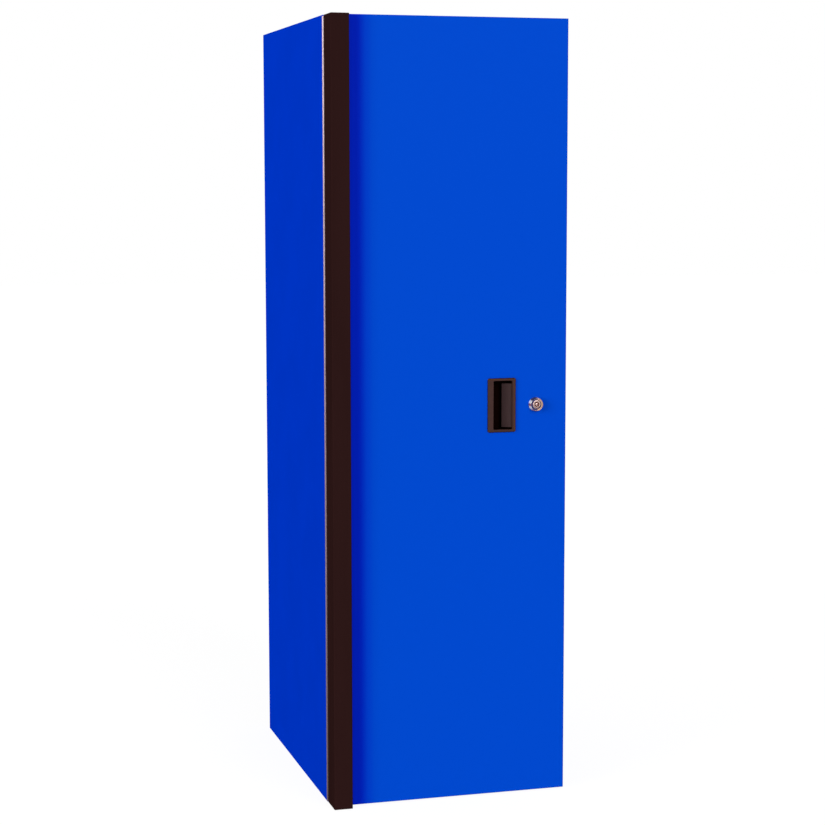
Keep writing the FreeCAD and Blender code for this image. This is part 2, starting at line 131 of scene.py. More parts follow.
def seen_directly(tree):
    """1 for camera, mirror and glass rays, 0 for the rays that light things."""
    path = tree.nodes.new("ShaderNodeLightPath").outputs
    either = maths(tree, "MAXIMUM", path["Is Camera Ray"], path["Is Glossy Ray"])
    return maths(tree, "MAXIMUM", either, path["Is Transmission Ray"])


def two_levels(tree, lighting, shown):
    """One strength for the rays that light things and another for what is seen."""
    return rescaled(tree, seen_directly(tree), 0.0, 1.0, lighting, shown)


room = bpy.data.worlds.new("pale_room")
room.use_nodes = True
scene.world = room
room_light = room.node_tree.nodes["Background"].inputs
room_light["Color"].default_value = (1.0, 1.0, 1.0, 1.0)
room.node_tree.links.new(two_levels(room.node_tree, lighting=0.35, shown=1.0),
                         room_light["Strength"])


def studio_sheet(name, paint_name, base, glow, corners):
    """A flat sheet with four corners in a paint that glows and has no sheen."""
    mesh = bpy.data.meshes.new(name)
    mesh.from_pydata(corners, [], [(0, 1, 2, 3)])
    sheet = bpy.data.objects.new(name, mesh)
    scene.collection.objects.link(sheet)
    paint = bpy.data.materials.new(paint_name)
    paint.use_nodes = True
    shader = paint.node_tree.nodes["Principled BSDF"].inputs
    shader["Base Color"].default_value = (*base, 1.0)
    shader["Specular IOR Level"].default_value = 0.0
    shader["Emission Color"].default_value = (*glow, 1.0)
    shader["Emission Strength"].default_value = 1.0
    mesh.materials.append(paint)
    return sheet, paint.node_tree


floor_reach, floor_drop = 20, 0.0002
floor, floor_tree = studio_sheet(
    "studio_floor", "floor_paint", (0.15, 0.15, 0.15), (1.0, 1.0, 1.0),
    [(x * floor_reach, y * floor_reach, cad_low[2] - floor_drop)
     for x, y in ((-1, -1), (1, -1), (1, 1), (-1, 1))])
floor_shader = floor_tree.nodes["Principled BSDF"].inputs
floor_shader["Roughness"].default_value = 0.9
floor_tree.links.new(two_levels(floor_tree, lighting=0.26, shown=0.93),
                     floor_shader["Emission Strength"])


def dark_card(name, glow, corners):
    """A card out of the frame that only polished metal sees."""
    card = studio_sheet(name, name + "_paint", (0.0, 0.0, 0.0), glow, corners)[0]
    card.visible_camera = False
    card.visible_diffuse = False
    card.visible_shadow = False
    card.visible_transmission = False


dark_card("left_card", (0.20, 0.055, 0.030),
          [(-3, -3, 0.10), (-3, 3, 0.10), (-3, 3, 0.75), (-3, -3, 0.75)])
dark_card("right_card", (0.004, 0.010, 0.12),
          [(3, -6, 0.0), (3, 3, 0.0), (3, 3, 4.5), (3, -6, 4.5)])
dark_card("low_right_card", (0.004, 0.010, 0.12),
          [(0.9, -6, 0.01), (3, -6, 0.01), (3, 0, 0.01), (0.9, 0, 0.01)])
dark_card("top_card", (0.025, 0.016, 0.010),
          [(-2.6, -2, 3), (-0.5, -2, 3), (-0.5, 2, 3), (-2.6, 2, 3)])


# ---------------------------------------------------------------------------
# Cabinet body. Two side sheets, a floor pan, a top pan, a back and three
# shelves of 1.2 mm steel, folded on a press brake and powder coated blue.
# The sides are spot welded to the pans and to the back.
# ---------------------------------------------------------------------------
def finish(name, colour, roughness, metallic=0.0, specular=0.5):
    """A material whose steady values stand on the shader itself."""
    material = bpy.data.materials.new(name)
    material.use_nodes = True
    shader = material.node_tree.nodes["Principled BSDF"].inputs
    shader["Base Color"].default_value = (*colour, 1.0)
    shader["Roughness"].default_value = roughness
    shader["Metallic"].default_value = metallic
    shader["Specular IOR Level"].default_value = specular
    return material


def place_in(tree):
    """Where a point lies in the piece's own space, in metres."""
    return tree.nodes.new("ShaderNodeTexCoord").outputs["Object"]


def axes_of(tree):
    """The same place as three sockets, X, Y and Z."""
    split = tree.nodes.new("ShaderNodeSeparateXYZ")
    tree.links.new(place_in(tree), split.inputs["Vector"])
    return split.outputs


def grain(material, size, stretch=(1, 1, 1), detail=3.0):
    """Noise with about `size` metres from one grain to the next."""
    tree = material.node_tree
    fit = tree.nodes.new("ShaderNodeMapping")
    fit.inputs["Scale"].default_value = [1 / (size * s) for s in stretch]
    noise = tree.nodes.new("ShaderNodeTexNoise")
    noise.inputs["Scale"].default_value = 1.0
    noise.inputs["Detail"].default_value = detail
    tree.links.new(place_in(tree), fit.inputs["Vector"])
    tree.links.new(fit.outputs["Vector"], noise.inputs["Vector"])
    return noise.outputs["Fac"]


# Nearly all of a noise field lies between these two values.
noise_low, noise_high = 0.35, 0.65


def wander(material, field, low, high):
    """Let the roughness wander between two values."""
    tree = material.node_tree
    tree.links.new(rescaled(tree, field, noise_low, noise_high, low, high),
                   tree.nodes["Principled BSDF"].inputs["Roughness"])


def tones(material, field, *stops):
    """Base colour that runs through (place, colour) stops as the field rises."""
    tree = material.node_tree
    ramp = tree.nodes.new("ShaderNodeValToRGB")
    while len(ramp.color_ramp.elements) < len(stops):
        ramp.color_ramp.elements.new(0.5)
    for element, (at, colour) in zip(ramp.color_ramp.elements, stops):
        element.position = at
        element.color = (*colour, 1.0)
    tree.links.new(field, ramp.inputs["Fac"])
    tree.links.new(ramp.outputs["Color"], tree.nodes["Principled BSDF"].inputs["Base Color"])


def shade(colour, by):
    return [c * by for c in colour]


def mottle(material, colour, size, darker, lighter, stretch=(1, 1, 1)):
    """Base colour that drifts a little darker and lighter from one grain to the next."""
    tones(material, grain(material, size, stretch),
          (noise_low, shade(colour, darker)), (noise_high, shade(colour, lighter)))


def ripple(material, *layers):
    """Bump from (height field, depth in metres) pairs, laid one on the other."""
    tree = material.node_tree
    below = None
    for field, depth in layers:
        bump = tree.nodes.new("ShaderNodeBump")
        bump.inputs["Strength"].default_value = 1.0
        bump.inputs["Distance"].default_value = depth
        tree.links.new(field, bump.inputs["Height"])
        if below:
            tree.links.new(below, bump.inputs["Normal"])
        below = bump.outputs["Normal"]
    tree.links.new(below, tree.nodes["Principled BSDF"].inputs["Normal"])


def powder_coat(name, colour, specular, *dents):
    """Stoved powder: an even colour with a faint orange peel and small changes of gloss.

    Dents are (function that gives their height field, depth in metres) pairs.
    """
    coat = finish(name, colour, roughness=0.42, specular=specular)
    mottle(coat, colour, size=0.11, darker=0.98, lighter=1.02)
    wander(coat, grain(coat, 0.015), low=0.36, high=0.48)
    ripple(coat, (grain(coat, 0.0030, detail=1.0), 0.00003),
           (grain(coat, 0.0007, detail=1.0), 0.000006),
           *[(height(coat), depth) for height, depth in dents])
    return coat


def mesh_from(work, name, coats):
    """The mesh of a finished bmesh, with its coats in order."""
    mesh = bpy.data.meshes.new(name)
    work.to_mesh(mesh)
    work.free()
    for coat in coats:
        mesh.materials.append(coat)
    return mesh


def keep(mesh, name, body, stands_for=(), soft=30.0):
    """Put a mesh in the scene as one piece that rides on a body."""
    mesh.shade_smooth()
    mesh.set_sharp_from_angle(angle=math.radians(soft))
    piece = bpy.data.objects.new(name, mesh)
    scene.collection.objects.link(piece)
    weighted = piece.modifiers.new("even_shading", "WEIGHTED_NORMAL")
    weighted.keep_sharp = True
    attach(piece, body)
    if stands_for:
        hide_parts(*stands_for)
    return piece


def dressed(name, coat, body, edge=0.00022, steps=2, extra=()):
    """A frame node with its cut edges eased, standing for it in its coat."""
    same_point, same_plane, sharp = 2e-6, math.radians(0.3), math.radians(40)
    work = bmesh.new()
    work.from_mesh(nodes[name].data)
    bmesh.ops.remove_doubles(work, verts=work.verts, dist=same_point)
    bmesh.ops.dissolve_limit(work, angle_limit=same_plane, verts=work.verts, edges=work.edges)
    corners = [e for e in work.edges if len(e.link_faces) == 2 and e.calc_face_angle(0) > sharp]
    bmesh.ops.bevel(work, geom=corners, offset=edge, segments=steps, profile=0.5, affect="EDGES",
                    clamp_overlap=True)
    mesh = mesh_from(work, name + "_skin", (coat, *extra))
    return keep(mesh, name + "_skin", body, (name,))


# The body's blue is the door's blue made deeper: painted shade, so that the side reads darker than
# the door.
body_blue_with_painted_shade = (0.0, 0.0395, 0.625)
side_low, side_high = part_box("left_side")
far_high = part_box("right_side")[1]
body_middle = (side_low.x + far_high.x) / 2
body_back = side_high.y
flange_skin = 0.0004
weld_inset = 0.012
weld_column = body_middle - side_low.x - weld_inset
weld_pitch = 0.090
weld_floor, weld_rim = 0.0022, 0.0038
weld_depth = 0.0004


def weld_marks(material):
    """Shallow spot-weld dimples down the two rear flanges: 0 in a dimple and 1 elsewhere."""
    tree = material.node_tree
    place = axes_of(tree)
    from_middle = maths(tree, "ABSOLUTE", maths(tree, "SUBTRACT", place["X"], body_middle))
    off_column = maths(tree, "SUBTRACT", from_middle, weld_column)
    along_column = maths(tree, "PINGPONG", place["Z"], weld_pitch / 2)
    squares = [maths(tree, "MULTIPLY", off, off) for off in (off_column, along_column)]
    distance = maths(tree, "SQRT", maths(tree, "ADD", *squares))
    plain_sheet = rescaled(tree, distance, weld_floor, weld_rim, way="SMOOTHSTEP")
    in_front = maths(tree, "LESS_THAN", place["Y"], body_back - flange_skin)
    return maths(tree, "MAXIMUM", plain_sheet, in_front)


side_coat = powder_coat("side_powder_coat", body_blue_with_painted_shade, 0.0, (weld_marks, weld_depth))
body_coat = powder_coat("body_powder_coat", body_blue_with_painted_shade, 0.0)
for sheet in ("left_side", "right_side"):
    dressed(sheet, side_coat, "cabinet")
for sheet in ("back_panel", "base_pan", "top_pan", "lower_shelf", "middle_shelf", "upper_shelf"):
    dressed(sheet, body_coat, "cabinet")


# ---------------------------------------------------------------------------
# Shelf standards and clips. Roll-formed strips and bent clips of bright
# zinc-plated steel. The strips are spot welded to the sides, and the clips
# hook into them under the corners of the shelves.
# ---------------------------------------------------------------------------
zinc = finish("zinc_plate", (0.60, 0.61, 0.62), roughness=0.32, metallic=1.0)
tones(zinc, grain(zinc, 0.006, detail=5.0), (0.3, (0.50, 0.51, 0.54)), (0.5, (0.58, 0.59, 0.60)),
      (0.7, (0.65, 0.64, 0.63)))
wander(zinc, grain(zinc, 0.002), low=0.28, high=0.38)
ripple(zinc, (grain(zinc, 0.0012), 0.000006))
for fitting in ("front_left_standard", "front_right_standard", "rear_left_standard",
                "rear_right_standard", "shelf_clips"):
    dressed(fitting, zinc, "cabinet", edge=0.00015)


# ---------------------------------------------------------------------------
# Door. A tray folded from one 1.2 mm sheet, with a hat section bonded inside
# it, powder coated blue. Beside the post the coat's colour is painted deeper:
# painted shadow of the post on the door.
# ---------------------------------------------------------------------------
door_blue = (0.0, 0.0695, 0.645)
door_coat = powder_coat("door_powder_coat", door_blue, 0.01)
inner_door_coat = powder_coat("door_inner_coat", door_blue, 0.0)


def along(material, axis, start, end):
    """0 at `start` and 1 at `end`, in metres along one axis of the piece's own space."""
    tree = material.node_tree
    return rescaled(tree, axes_of(tree)[axis], start, end)


door_low, door_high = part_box("door_pan")
# Painted shadow of the post: over 60 mm from the post the coat is painted deeper.
painted_shade_run = 0.060
tones(door_coat, along(door_coat, "X", door_low.x, door_low.x + painted_shade_run),
      (0.07, (0.0, 0.0175, 0.620)), (0.17, (0.0, 0.0180, 0.612)), (0.27, (0.0, 0.0165, 0.585)),
      (0.375, (0.0, 0.0200, 0.580)), (0.48, (0.0, 0.0340, 0.595)), (0.58, (0.0, 0.0490, 0.624)),
      (0.68, (0.0, 0.0535, 0.624)), (0.80, (0.0, 0.0648, 0.630)), (1.0, door_blue))
door_skin = dressed("door_pan", door_coat, "door", extra=(inner_door_coat,))
outer_skin, looks_out = 0.001, -0.5
for face in door_skin.data.polygons:
    if face.normal.y > looks_out or face.center.y > door_low.y + outer_skin:
        face.material_index = 1
dressed("door_stiffener", inner_door_coat, "door")


# ---------------------------------------------------------------------------
# Post. A hollow aluminium extrusion with a very dark brown satin coat, and
# moulded caps pressed into its ends. It is screwed to the edge of the door.
# ---------------------------------------------------------------------------
post_brown = (0.0258, 0.0093, 0.0088)
post_coat = finish("post_satin_coat", post_brown, roughness=0.50, specular=0.0)
mottle(post_coat, post_brown, size=0.05, darker=0.95, lighter=1.05, stretch=(1, 1, 8))
ripple(post_coat, (grain(post_coat, 0.0016, stretch=(1, 1, 60), detail=2.0), 0.000008),
       (grain(post_coat, 0.0007, detail=1.0), 0.000005))
dressed("door_post", post_coat, "door", edge=0.0002)
cap_plastic = finish("cap_plastic", post_brown, roughness=0.56, specular=0.0)
mottle(cap_plastic, post_brown, size=0.012, darker=0.9, lighter=1.1)
ripple(cap_plastic, (grain(cap_plastic, 0.0004, detail=1.0), 0.00001))
top_cap = dressed("post_top_cap", cap_plastic, "door", edge=0.0004)
cap_low, cap_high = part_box("post_top_cap")
cap_round, cap_tighter = 0.0045, 0.45
for vertex in top_cap.data.vertices:
    if cap_high.z - vertex.co.z <= cap_round:
        vertex.co.z = cap_high.z - (cap_high.z - vertex.co.z) * cap_tighter
        for axis in (0, 1):
            for side in (cap_low[axis], cap_high[axis]):
                if abs(vertex.co[axis] - side) <= cap_round:
                    vertex.co[axis] = side + (vertex.co[axis] - side) * cap_tighter
dressed("post_bottom_cap", cap_plastic, "door", edge=0.0004)


# ---------------------------------------------------------------------------
# Piano hinge. Two leaves of bright 1 mm steel, as tall as the door, rolled by
# turns round a 2.9 mm pin. Blind rivets hold one leaf to the body and the
# other to the post. The knuckles and pin are painted light at the top and
# darker towards the ground: a painted reflection of light from above.
# ---------------------------------------------------------------------------
def oblong(left, right, front, back):
    return [(left, front), (right, front), (right, back), (left, back)]


def blocks(mesh_name, coats, sections):
    """Upright prisms in one mesh, each a (closed outline in plan, low, high)."""
    work = bmesh.new()
    for outline, low, high in sections:
        lower, upper = [[work.verts.new((x, y, z)) for x, y in outline] for z in (low, high)]
        for i in range(len(outline)):
            j = (i + 1) % len(outline)
            work.faces.new((lower[i], lower[j], upper[j], upper[i]))
        work.faces.new(lower[::-1])
        work.faces.new(upper)
    bmesh.ops.recalc_face_normals(work, faces=work.faces)
    return mesh_from(work, mesh_name, coats)


def lathe(mesh_name, coats, profile, centres, axis, sides=24):
    """One profile of (radius, distance along the axis) pairs, turned at each centre.

    A third number in a pair gives it that many flats in place of a circle.
    """
    spin = Vector(axis).to_track_quat("Z", "Y").to_matrix().to_4x4()
    work = bmesh.new()
    for centre in centres:
        place = Matrix.Translation(centre) @ spin
        rings = []
        for radius, rise, *flats in profile:
            ring = []
            for i in range(sides if radius > 0 else 1):
                angle = 2 * math.pi * i / sides
                reach = radius
                if flats:
                    share = 2 * math.pi / flats[0]
                    reach *= math.cos(share / 2) / math.cos(angle % share - share / 2)
                point = Vector((reach * math.cos(angle), reach * math.sin(angle), rise))
                ring.append(work.verts.new(place @ point))
            rings.append(ring)
        for lower, upper in zip(rings, rings[1:]):
            for i in range(sides):
                j = (i + 1) % sides
                corners = [lower[i % len(lower)], lower[j % len(lower)],
                           upper[j % len(upper)], upper[i % len(upper)]]
                work.faces.new(list(dict.fromkeys(corners)))
    bmesh.ops.recalc_face_normals(work, faces=work.faces)
    return mesh_from(work, mesh_name, coats)


def fasteners(name, profile, spots, axis, body):
    """Small turned heads of one kind, zinc plated, in one piece."""
    keep(lathe(name, (zinc,), profile, spots, axis), name, body)


hinge_steel = finish("hinge_steel", (0.7, 0.6, 0.6), roughness=0.38, metallic=0.35, specular=0.3)
hinge_painted_light_top = 1.55
# Painted reflection of light from above: lighter and pinker at the top, darker towards the ground.
tones(hinge_steel, along(hinge_steel, "Z", 0.0, hinge_painted_light_top),
      (0.0, (0.13, 0.085, 0.090)), (0.5, (0.32, 0.22, 0.25)), (1.0, (0.57, 0.44, 0.47)))
ripple(hinge_steel, (grain(hinge_steel, 0.0008, stretch=(1, 1, 12)), 0.000005))
leaf_low, leaf_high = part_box("hinge_body_leaf")
door_leaf_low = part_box("hinge_door_leaf")[0]
pin_low, pin_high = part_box("hinge_pin")
pin_radius = (pin_high.x - pin_low.x) / 2
pin_length = pin_high.z - pin_low.z
pin_x, pin_y = pin_low.x + pin_radius, (pin_low.y + pin_high.y) / 2
pin_clearance = 0.00005
leaf_thick = 0.0010
knuckle_radius = pin_x - leaf_low.x
bore_radius = pin_radius + pin_clearance
knuckles = 61
knuckle_pitch = (leaf_high.z - leaf_low.z) / knuckles
knuckle_gap = 0.0003
curl_start, curl_end, curl_steps = 78, 312, 26
neck_inner, neck_outer = 0.0016, 0.0019
notch_depth = 0.0032
plate_x = pin_x + notch_depth
# Slack for telling on which side of a place a face or a point lies.
hair = 0.0001


def curl(side, face_y):
    """Outline of a leaf's edge, rolled round the pin. `face_y` is the leaf's outer face."""
    seat = abs(face_y - pin_y)
    sweep = [math.radians(curl_start + (curl_end - curl_start) * i / curl_steps)
             for i in range(curl_steps + 1)]
    outer = [(knuckle_radius * math.cos(a), knuckle_radius * math.sin(a)) for a in sweep]
    inner = [(bore_radius * math.cos(a), bore_radius * math.sin(a)) for a in reversed(sweep)]
    neck = [(neck_inner, seat - leaf_thick), (notch_depth, seat - leaf_thick), (notch_depth, seat),
            (neck_outer, seat)]
    return [(pin_x + x, pin_y + side * y) for x, y in outer + inner + neck]


rivets, rivet_line, rivet_margin = 16, 0.0145, 0.030
rivet_heights = [rivet_margin + i * (cad_high[2] - 2 * rivet_margin) / (rivets - 1)
                 for i in range(rivets)]
rivet_head = [(0.0, 0.0011), (0.0006, 0.0011), (0.0008, 0.0009), (0.0016, 0.0010),
              (0.0024, 0.0006), (0.0028, 0.0), (0.0028, -0.0004)]
for node, side, face_y, body, first in (("hinge_body_leaf", 1, leaf_high.y, "cabinet", 0),
                                        ("hinge_door_leaf", -1, door_leaf_low.y, "door", 1)):
    back_y = face_y - side * leaf_thick
    sections = [(oblong(plate_x, leaf_high.x, face_y, back_y), leaf_low.z, leaf_high.z)]
    for i in range(first, knuckles, 2):
        low = leaf_low.z + i * knuckle_pitch
        sections.append((curl(side, face_y), low + knuckle_gap / 2,
                         low + knuckle_pitch - knuckle_gap / 2))
    leaf_mesh = blocks(node + "_shape", (hinge_steel, zinc), sections)
    for face in leaf_mesh.polygons:
        if face.center.x > plate_x - hair:
            face.material_index = 1
    keep(leaf_mesh, node + "_shape", body, (node,))
    fasteners(node + "_rivets", rivet_head,
              [(pin_x + rivet_line, back_y, height) for height in rivet_heights],
              (0, -side, 0), body)
pin_mesh = lathe("hinge_pin_shape", (hinge_steel,), [
    (0.0, 0.0), (0.0009, 0.0001), (pin_radius, 0.0006), (pin_radius, pin_length - 0.0006),
    (0.0009, pin_length - 0.0001), (0.0, pin_length)], [(pin_x, pin_y, pin_low.z)], (0, 0, 1))
keep(pin_mesh, "hinge_pin_shape", "cabinet", ("hinge_pin",))


# ---------------------------------------------------------------------------
# Post screws. Seven button-head screws go through the folded edge of the
# door into the post, from inside the tray.
# ---------------------------------------------------------------------------
button_head = [(0.0, 0.0009), (0.0014, 0.0009, 6), (0.0014, 0.0021, 6), (0.0019, 0.0022),
               (0.0028, 0.0018), (0.0035, 0.0010), (0.0037, 0.0)]
sheet_steel = 0.0012
screws, screw_pitch, first_screw, screw_inset = 7, 0.2308, 0.080, 0.020
fasteners("post_screws", button_head,
          [(door_low.x + sheet_steel, door_high.y - screw_inset,
            door_low.z + first_screw + screw_pitch * i) for i in range(screws)],
          (1, 0, 0), "door")


# ---------------------------------------------------------------------------
# Cup pull. One moulding of dark brown glass-filled nylon with a fine spark
# texture: a frame on the door, a ramp that leads the fingers in, and a deep
# hollow round the ramp. The hollow is painted near black and the ramp darker,
# as painted shade; the frame's outer edge is painted dark as shade, and a ring
# inside it on the top and right lighter, as a painted highlight. A bent steel
# strap draws it in from behind.
# ---------------------------------------------------------------------------
pull_brown = (0.0548, 0.0242, 0.0208)
pull_plastic = finish("pull_plastic", pull_brown, roughness=0.55, specular=0.12)
mottle(pull_plastic, pull_brown, size=0.008, darker=0.93, lighter=1.07)
ripple(pull_plastic, (grain(pull_plastic, 0.0005, detail=1.0), 0.000012))
# Painted shade: the hollow round the ramp is painted near black.
hollow_shade_colour = (0.0062, 0.0018, 0.0012)
pull_hollow_painted_shade = finish("pull_hollow_painted_shade", hollow_shade_colour, roughness=0.6, specular=0.0)
mottle(pull_hollow_painted_shade, hollow_shade_colour, size=0.006, darker=0.9, lighter=1.1)
# Painted shade: the ramp is painted darker than the frame.
ramp_shade_colour = (0.0330, 0.0158, 0.0165)
pull_ramp_painted_shade = finish("pull_ramp_painted_shade", ramp_shade_colour, roughness=0.5, specular=0.1)
mottle(pull_ramp_painted_shade, ramp_shade_colour, size=0.008, darker=0.94, lighter=1.06, stretch=(1, 1, 4))
ripple(pull_ramp_painted_shade, (grain(pull_ramp_painted_shade, 0.0005, detail=1.0), 0.000012))
# Painted highlight: a lighter, warmer ring inside the edge, on the top and right.
rim_highlight_colour = (0.092, 0.030, 0.012)
pull_rim_painted_highlight = finish("pull_rim_painted_highlight", rim_highlight_colour, roughness=0.5, specular=0.1)
mottle(pull_rim_painted_highlight, rim_highlight_colour, size=0.004, darker=0.9, lighter=1.1)
# Painted shade: a dark line round the outer edge of the frame.
edge_shade_colour = (0.022, 0.0100, 0.0035)
pull_edge_painted_shade = finish("pull_edge_painted_shade", edge_shade_colour, roughness=0.6, specular=0.0)
mottle(pull_edge_painted_shade, edge_shade_colour, size=0.004, darker=0.9, lighter=1.1)
at_hollow_shade, at_ramp_shade, at_rim_highlight, at_edge_shade = 1, 2, 3, 4
cup = dressed("pull_cup", pull_plastic, "door", edge=0.0006, steps=3,
              extra=(pull_hollow_painted_shade, pull_ramp_painted_shade, pull_rim_painted_highlight, pull_edge_painted_shade))
cup_low, cup_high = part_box("pull_cup")
cup_middle = (cup_low + cup_high) / 2
door_face = door_low.y
mouth_depth = 0.0024
left_edge, edge_in, rim_in = 0.0005, 0.0011, 0.0029
cut = bmesh.new()
cut.from_mesh(cup.data)
for axis, at in ((1, door_face + mouth_depth), (0, cup_low.x + left_edge),
                 (0, cup_high.x - edge_in), (0, cup_high.x - rim_in),
                 (2, cup_low.z + edge_in), (2, cup_high.z - edge_in), (2, cup_high.z - rim_in)):
    spot, facing = Vector(), Vector()
    spot[axis], facing[axis] = at, 1.0
    bmesh.ops.bisect_plane(cut, geom=cut.verts[:] + cut.edges[:] + cut.faces[:],
                           plane_co=spot, plane_no=facing)
cut.to_mesh(cup.data)
cut.free()
hollow_left, hollow_right, hollow_rise, hollow_depth = -0.0245, 0.0229, 0.0491, 0.0222
ramp_depth, ramp_looks_out = 0.0130, -0.25
# Faces of the hollow and the ramp take painted shade, the outer edge painted shade, and the ring
# inside it a painted highlight.
for face in cup.data.polygons:
    spot = face.center - Vector((cup_middle.x, door_face, cup_middle.z))
    inside = (hollow_left < spot.x < hollow_right and abs(spot.z) < hollow_rise
              and mouth_depth < spot.y < hollow_depth)
    if inside and face.normal.y < ramp_looks_out and spot.y < ramp_depth:
        face.material_index = at_ramp_shade
    elif inside:
        face.material_index = at_hollow_shade
    elif spot.y < -hair:
        from_right, from_top = cup_high.x - face.center.x, cup_high.z - face.center.z
        from_left, from_bottom = face.center.x - cup_low.x, face.center.z - cup_low.z
        if from_left < left_edge or min(from_right, from_top, from_bottom) < edge_in:
            face.material_index = at_edge_shade
        elif min(from_right, from_top) < rim_in:
            face.material_index = at_rim_highlight
strap_low, strap_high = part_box("pull_strap")
strap_screw_rise = 0.025
dressed("pull_strap", zinc, "door", edge=0.00015)
fasteners("strap_screws", button_head,
          [((strap_low.x + strap_high.x) / 2, strap_high.y, cup_middle.z + rise)
           for rise in (-strap_screw_rise, strap_screw_rise)], (0, 1, 0), "door")


# ---------------------------------------------------------------------------
# Cam lock. A die-cast head and barrel, polished and chrome plated, with a
# turning core for a tubular key. A hexagon nut clamps it, and a zinc-plated
# cam on the tail of the core swings behind the frame of the body.
# ---------------------------------------------------------------------------
# Chrome and nickel tinted pink and warm: the plating's colour with a painted warm reflection.
chrome = finish("lock_chrome", (0.64, 0.46, 0.43), roughness=0.08, metallic=1.0)
nickel = finish("lock_nickel", (0.55, 0.35, 0.26), roughness=0.10, metallic=1.0)
for plate, smoothest, roughest in ((chrome, 0.05, 0.12), (nickel, 0.07, 0.15)):
    wander(plate, grain(plate, 0.003), smoothest, roughest)
    ripple(plate, (grain(plate, 0.002, detail=1.0), 0.000004))
satin_nickel = finish("lock_satin_side", (0.90, 0.84, 0.80), roughness=0.25,
                      metallic=0.10, specular=0.7)
# Painted reflection: a dark blue crescent in the dish, where the real one mirrors the blue door.
dish_reflection_blue = (0.030, 0.034, 0.150)
dish_painted_reflection = finish("lock_painted_reflection_dish", dish_reflection_blue, roughness=0.35, specular=0.3)
mottle(dish_painted_reflection, dish_reflection_blue, size=0.001, darker=0.8, lighter=1.2)
key_shadow = finish("key_groove", (0.34, 0.13, 0.08), roughness=0.55, specular=0.2)
tones(key_shadow, grain(key_shadow, 0.001),
      (noise_low, (0.28, 0.10, 0.06)), (noise_high, (0.40, 0.16, 0.10)))
at_side, at_barrel, at_dish_reflection = 1, 2, 3
lock_low, lock_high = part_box("lock_housing")
core_low, core_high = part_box("lock_core")
lock_x, lock_z = (lock_low.x + lock_high.x) / 2, (lock_low.z + lock_high.z) / 2
lock_spot = (lock_x, door_face, lock_z)
head = door_face - lock_low.y
head_radius = (lock_high.x - lock_low.x) / 2
barrel = lock_high.y - door_face
barrel_radius, barrel_flat = 0.0095, 0.0080
seat_radius, seat_depth, bore_of_lock = 0.0091, 0.0060, 0.00705
thread_points, thread_start, thread_step, thread_depth = 54, 0.0004, 0.0006, 0.0005
thread = [(barrel_radius - thread_depth * (i % 2), -thread_start - thread_step * i)
          for i in range(thread_points)]
housing = lathe("lock_housing_shape", (nickel, satin_nickel, zinc, dish_painted_reflection), [
    (seat_radius, -seat_depth), (seat_radius, head - 0.0014), (0.0110, head - 0.0004),
    (0.0113, head - 0.0001), (0.0116, head), (0.0121, head - 0.0003), (0.0125, head - 0.0008),
    (0.0129, head - 0.0017), (0.0132, head - 0.0030), (0.0136, head - 0.0056),
    (head_radius - 0.0001, 0.0008), (head_radius, 0.0), (barrel_radius, 0.0), *thread,
    (0.0090, -barrel), (bore_of_lock, -barrel), (bore_of_lock, -seat_depth),
    (seat_radius, -seat_depth)], [lock_spot], (0, -1, 0), sides=72)
for vertex in housing.vertices:
    if vertex.co.y > door_face + hair:
        vertex.co.x = min(max(vertex.co.x, lock_x - barrel_flat), lock_x + barrel_flat)


def round_the(material, x, z):
    """Turns round an axis that points out of the door.

    0 at the left, then by way of the bottom, the right and the top to 1.
    """
    tree = material.node_tree
    place = axes_of(tree)
    angle = maths(tree, "ARCTAN2", maths(tree, "SUBTRACT", place["Z"], z),
                  maths(tree, "SUBTRACT", place["X"], x))
    return rescaled(tree, angle, -math.pi, math.pi)


# Painted highlights and reflections round the side of the head: white highlights above and below
# the left middle, a red-brown reflection between them, dark reflections at the top and top left,
# and warm ones below and to the right.
painted_highlight_white = (1.0, 0.97, 0.80)
painted_reflection_red = (0.34, 0.11, 0.07)
tones(satin_nickel, round_the(satin_nickel, lock_x, lock_z),
      (0.02, painted_reflection_red), (0.06, painted_highlight_white), (0.09, painted_highlight_white), (0.14, (0.50, 0.30, 0.22)),
      (0.25, (0.30, 0.11, 0.11)), (0.40, (0.45, 0.28, 0.24)), (0.50, (0.60, 0.38, 0.22)),
      (0.72, (0.62, 0.43, 0.40)), (0.76, (0.05, 0.035, 0.030)), (0.88, (0.06, 0.045, 0.035)),
      (0.915, painted_highlight_white), (0.96, painted_highlight_white), (0.99, painted_reflection_red))
side_from = 0.0118
